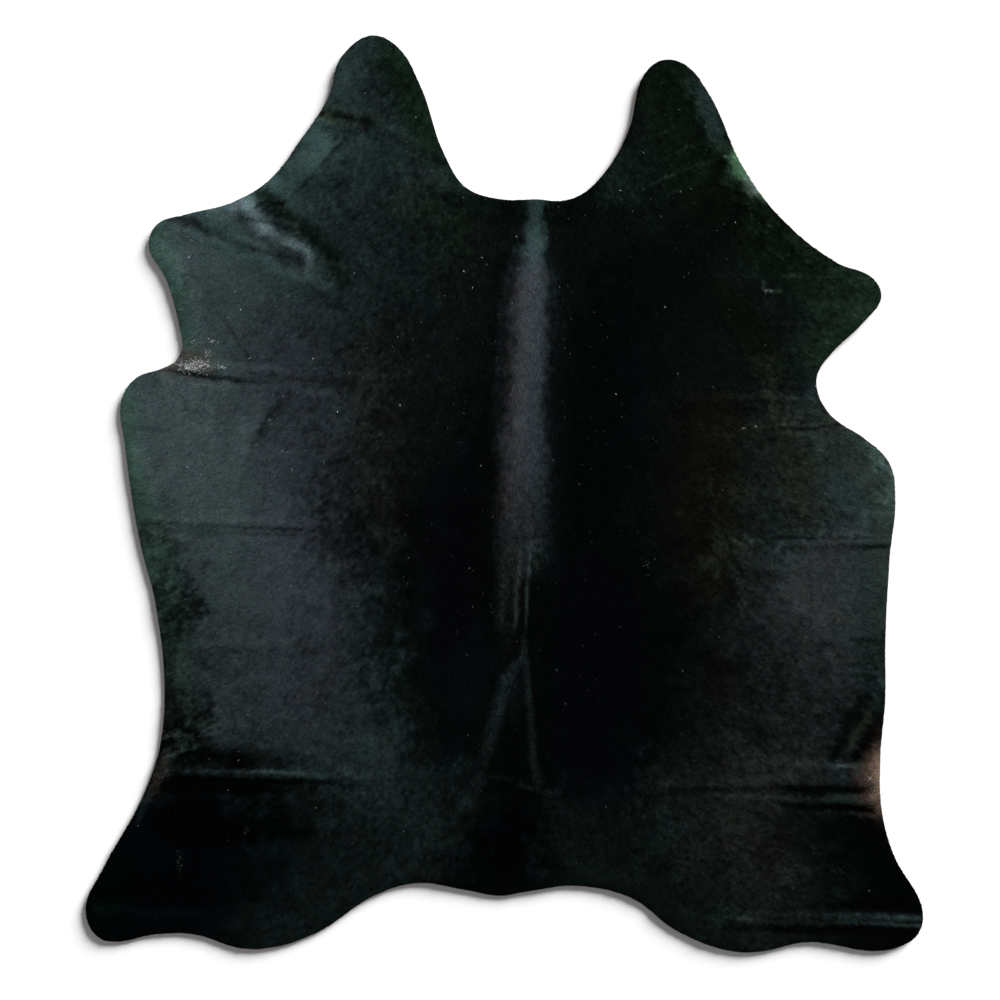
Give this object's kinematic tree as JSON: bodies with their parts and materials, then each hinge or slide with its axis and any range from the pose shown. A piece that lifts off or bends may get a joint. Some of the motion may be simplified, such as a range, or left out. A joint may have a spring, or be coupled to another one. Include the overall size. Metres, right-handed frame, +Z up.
{
  "type": "leather hide",
  "caption": "Whole cowhide rug with short black hair, lying flat: neck flaps at one end, legs spread to the sides, a wavy rump edge and soft fold marks.",
  "frame": {"origin": "on the floor, under the middle of the hide's bounding box", "axes": "+Y runs along the back to the neck, +X to the side that is on the right when the hide is seen from above with the neck up, +Z up out of the coat"},
  "size_m": [2.011, 2.2028, 0.0164],
  "materials": {
    "black_coat": "short black hair, satin sheen",
    "bare_skin": "napped flesh side and cut edge, matt"
  },
  "bodies": {
    "root": {"hide": "black_coat"}
  },
  "joints": []
}
